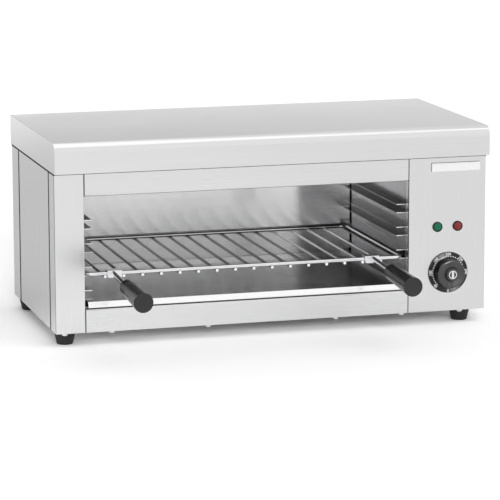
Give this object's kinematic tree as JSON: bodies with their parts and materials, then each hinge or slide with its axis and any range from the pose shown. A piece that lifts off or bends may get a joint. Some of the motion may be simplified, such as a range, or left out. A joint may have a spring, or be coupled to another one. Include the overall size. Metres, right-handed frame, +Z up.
{
  "type": "salamander grill",
  "caption": "Countertop salamander grill: open-front steel casing, heating elements under the lid, pull-out wire rack with two handles, crumb tray, thermostat dial and two lamps.",
  "frame": {"origin": "on the surface it stands on, at the centre of the footprint of its bounding box, handles and cable gland included", "axes": "+X along the width, to the right as seen from the front; +Y from the open front to the rear; +Z up"},
  "size_m": [0.602, 0.4668, 0.2726],
  "materials": {
    "casing_steel": "satin, brushed along its length",
    "lid_steel": "satin, brushed along its length",
    "cavity_steel": "satin",
    "guide_steel": "satin",
    "tray_steel": "satin",
    "element_sheath": "dull, heat stained",
    "bush_brass": "satin",
    "rack_chrome": "polished",
    "clip_steel": "satin",
    "rod_chrome": "polished",
    "grip_plastic": "satin",
    "dial_metal": "black, with light printing",
    "knob_plastic": "gloss",
    "cap_chrome": "polished",
    "thermostat_case": "matte",
    "shaft_steel": "turned",
    "bulb_metal": "drawn tube",
    "lamp_bezel": "gloss",
    "green_lens": "clear gloss",
    "red_lens": "clear gloss",
    "name_plate_metal": "white, blank",
    "screw_steel": "plated",
    "foot_rubber": "matte",
    "gland_plastic": "matte",
    "block_plastic": "matte",
    "wire_sleeve": "matte"
  },
  "bodies": {
    "casing": {"top_cover": "lid_steel", "front_left_post": "casing_steel", "control_panel": "casing_steel", "rear_left_post": "casing_steel", "rear_right_post": "casing_steel", "left_side_panel": "casing_steel", "right_side_panel": "casing_steel", "rear_panel": "casing_steel", "top_front_rail": "casing_steel", "bottom_front_rail": "casing_steel", "base_plate": "casing_steel", "name_plate": "name_plate_metal", "foot_bolts": "screw_steel", "foot_nuts": "screw_steel", "base_screws": "screw_steel", "rear_screws": "screw_steel", "cavity_left_wall": "cavity_steel", "cavity_right_wall": "cavity_steel", "cavity_back_wall": "cavity_steel", "cavity_floor": "cavity_steel", "cavity_reflector": "cavity_steel", "front_heating_element": "element_sheath", "rear_heating_element": "element_sheath", "element_bushes": "bush_brass", "element_hangers": "cavity_steel", "dial_plate": "dial_metal", "thermostat_body": "thermostat_case", "thermostat_bulb": "bulb_metal", "bulb_clips": "clip_steel", "lamp_bodies": "lamp_bezel", "green_lens": "green_lens", "red_lens": "red_lens", "cable_gland": "gland_plastic", "gland_nut": "gland_plastic", "terminal_block": "block_plastic", "internal_wires": "wire_sleeve", "foot_front_left": "foot_rubber", "foot_front_right": "foot_rubber", "foot_rear_left": "foot_rubber", "foot_rear_right": "foot_rubber", "left_rack_guide_1": "guide_steel", "left_rack_guide_2": "guide_steel", "left_rack_guide_3": "guide_steel", "left_rack_guide_4": "guide_steel", "right_rack_guide_1": "guide_steel", "right_rack_guide_2": "guide_steel", "right_rack_guide_3": "guide_steel", "right_rack_guide_4": "guide_steel"},
    "rack": {"rack_frame": "rack_chrome", "rack_cross_wires": "rack_chrome", "left_handle_clip": "clip_steel", "left_handle_rod": "rod_chrome", "left_handle_grip": "grip_plastic", "right_handle_clip": "clip_steel", "right_handle_rod": "rod_chrome", "right_handle_grip": "grip_plastic"},
    "tray": {"crumb_tray": "tray_steel"},
    "knob": {"thermostat_knob": "knob_plastic", "knob_cap": "cap_chrome", "thermostat_shaft": "shaft_steel"}
  },
  "joints": [
    {"name": "rack_slide", "type": "slide", "parent": "casing", "child": "rack", "axis": [0, -1, 0], "range_m": [0, 0.17]},
    {"name": "tray_slide", "type": "slide", "parent": "casing", "child": "tray", "axis": [0, -1, 0], "range_m": [0, 0.2]},
    {"name": "knob_turn", "type": "hinge", "parent": "casing", "child": "knob", "pos_m": [0.2465, -0.07007, 0.0716], "axis": [0, 1, 0], "range_deg": [0, 270]}
  ]
}
